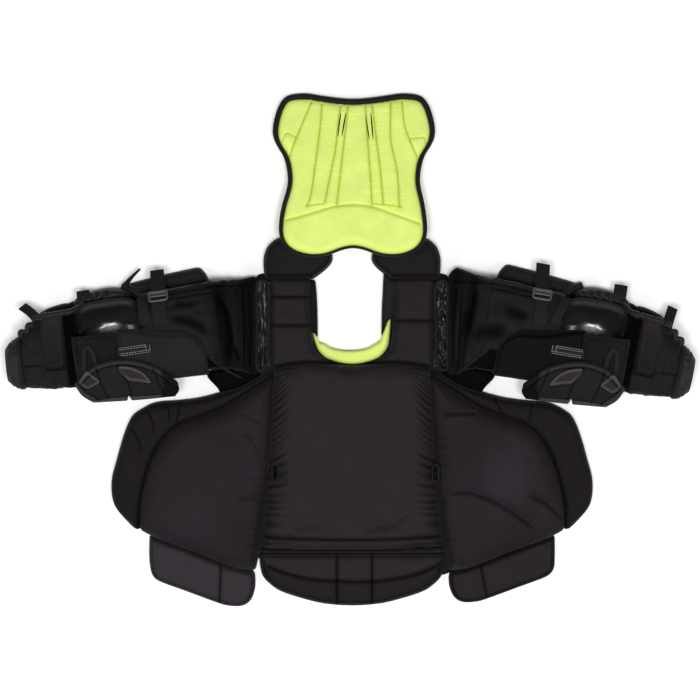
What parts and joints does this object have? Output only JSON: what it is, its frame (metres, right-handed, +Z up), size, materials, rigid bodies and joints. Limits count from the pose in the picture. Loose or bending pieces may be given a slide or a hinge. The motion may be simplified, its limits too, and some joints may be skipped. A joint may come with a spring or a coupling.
{
  "type": "chest and arm protector",
  "caption": "Padded goalkeeper's chest and arm protector lying open on its front, with a quilted back panel, sleeves with elbow cups, rib pads and webbing straps.",
  "frame": {"origin": "on the floor, under the middle of the part as it lies", "axes": "+X to the wearer's right along the spread arms, +Y from the belly to the head end, +Z up from the floor"},
  "size_m": [1.2362, 0.9246, 0.0922],
  "materials": {
    "lime_fabric": "matt brushed knit, quilted",
    "lining_fabric": "matt woven nylon lining",
    "wing_fabric": "matt woven nylon",
    "arm_fabric": "matt woven nylon",
    "panel_fabric": "smooth stretch cloth",
    "moulded_foam": "cloth-faced moulded foam",
    "edge_tape": "woven binding tape",
    "webbing": "woven webbing",
    "shiny_fabric": "crinkled coated nylon",
    "ribbed_elastic": "ribbed elastic",
    "cap_plastic": "glossy moulded",
    "buckle_plastic": "satin moulded",
    "cuff_rubber": "matt"
  },
  "bodies": {
    "root": {"armhole_gather_left": "shiny_fabric", "armhole_gather_right": "shiny_fabric", "armhole_trim_left": "edge_tape", "armhole_trim_right": "edge_tape", "back_binding": "edge_tape", "back_pad": "lime_fabric", "belly_flap": "lining_fabric", "bicep_pad_left": "arm_fabric", "bicep_pad_right": "arm_fabric", "chest_pad": "lining_fabric", "collar_liner": "lime_fabric", "collar_side_left": "edge_tape", "collar_side_right": "edge_tape", "elbow_cap_left": "cap_plastic", "elbow_cap_right": "cap_plastic", "elbow_elastic_left": "ribbed_elastic", "elbow_elastic_right": "ribbed_elastic", "elbow_roll_left": "arm_fabric", "elbow_roll_right": "arm_fabric", "elbow_strap_left": "webbing", "elbow_strap_right": "webbing", "elbow_tab_left": "webbing", "elbow_tab_right": "webbing", "elbow_wing_left": "moulded_foam", "elbow_wing_right": "moulded_foam", "forearm_flap_left": "webbing", "forearm_flap_right": "webbing", "forearm_pad_left": "arm_fabric", "forearm_pad_right": "arm_fabric", "forearm_sleeve_left": "arm_fabric", "forearm_sleeve_right": "arm_fabric", "forearm_tab_left": "webbing", "forearm_tab_right": "webbing", "inner_panel_left": "panel_fabric", "inner_panel_right": "panel_fabric", "shoulder_sleeve_left": "arm_fabric", "shoulder_sleeve_right": "arm_fabric", "shoulder_strap_left": "lining_fabric", "shoulder_strap_right": "lining_fabric", "shoulder_top_left": "lining_fabric", "shoulder_top_right": "lining_fabric", "side_flap_left": "wing_fabric", "side_flap_right": "wing_fabric", "side_loop_left": "webbing", "side_loop_right": "webbing", "strap_buckle_left": "buckle_plastic", "strap_buckle_right": "buckle_plastic", "underarm_panel_left": "webbing", "underarm_panel_right": "webbing", "upper_sleeve_left": "arm_fabric", "upper_sleeve_right": "arm_fabric", "upper_strap_left": "webbing", "upper_strap_right": "webbing", "wing_pad_left": "wing_fabric", "wing_pad_right": "wing_fabric", "wing_rim_left": "wing_fabric", "wing_rim_right": "wing_fabric", "wrist_cuff_left": "cuff_rubber", "wrist_cuff_right": "cuff_rubber"}
  },
  "joints": []
}
